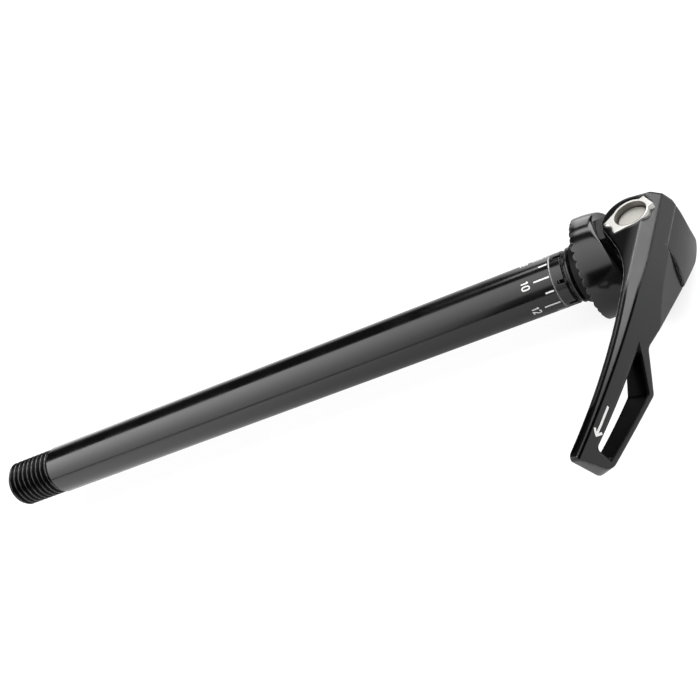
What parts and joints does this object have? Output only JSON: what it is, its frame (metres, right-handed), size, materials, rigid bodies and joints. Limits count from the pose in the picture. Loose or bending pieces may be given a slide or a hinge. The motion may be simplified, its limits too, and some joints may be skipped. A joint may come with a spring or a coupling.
{
  "type": "bicycle thru axle",
  "caption": "Bicycle thru axle: hollow round axle with a threaded end, a toothed clamping cup and a forged cam lever on a keyed pivot.",
  "frame": {"origin": "on the axle's axis, at the lever end of the plain journal", "axes": "+X along the axle towards the lever, +Z along the lever's pivot, the lever's arm towards -Y when closed"},
  "size_m": [0.1855, 0.0708, 0.0228],
  "materials": {
    "axle_black": "gloss black anodised",
    "lever_black": "satin black anodised",
    "cup_black": "gloss black anodised",
    "collet_black": "blackened",
    "bush_silver": "satin",
    "pin_steel": "satin",
    "bolt_steel": "zinc",
    "pad_plastic": "moulded acetal"
  },
  "bodies": {
    "axle": {"axle_tube": "axle_black", "tension_bolt": "bolt_steel", "bolt_washer": "bolt_steel", "trunnion": "pin_steel", "return_spring": "bolt_steel"},
    "cup": {"cam_cup": "cup_black", "cone_ring": "collet_black", "split_collet": "collet_black", "cam_pad": "pad_plastic"},
    "lever": {"lever": "lever_black", "bush_near": "bush_silver", "bush_far": "bush_silver"}
  },
  "joints": [
    {"name": "lever_hinge", "type": "hinge", "parent": "axle", "child": "lever", "pos_m": [0.0205, 0, 0], "axis": [0, 0, 1], "range_deg": [0, 90]},
    {"name": "cup_slide", "type": "slide", "parent": "axle", "child": "cup", "axis": [1, 0, 0], "range_m": [0, 0.0007], "deforming": ["return_spring"]}
  ],
  "couplings": [
    {"joint": "cup_slide", "follows": "lever_hinge", "m_per_rad": 0.0004456}
  ]
}
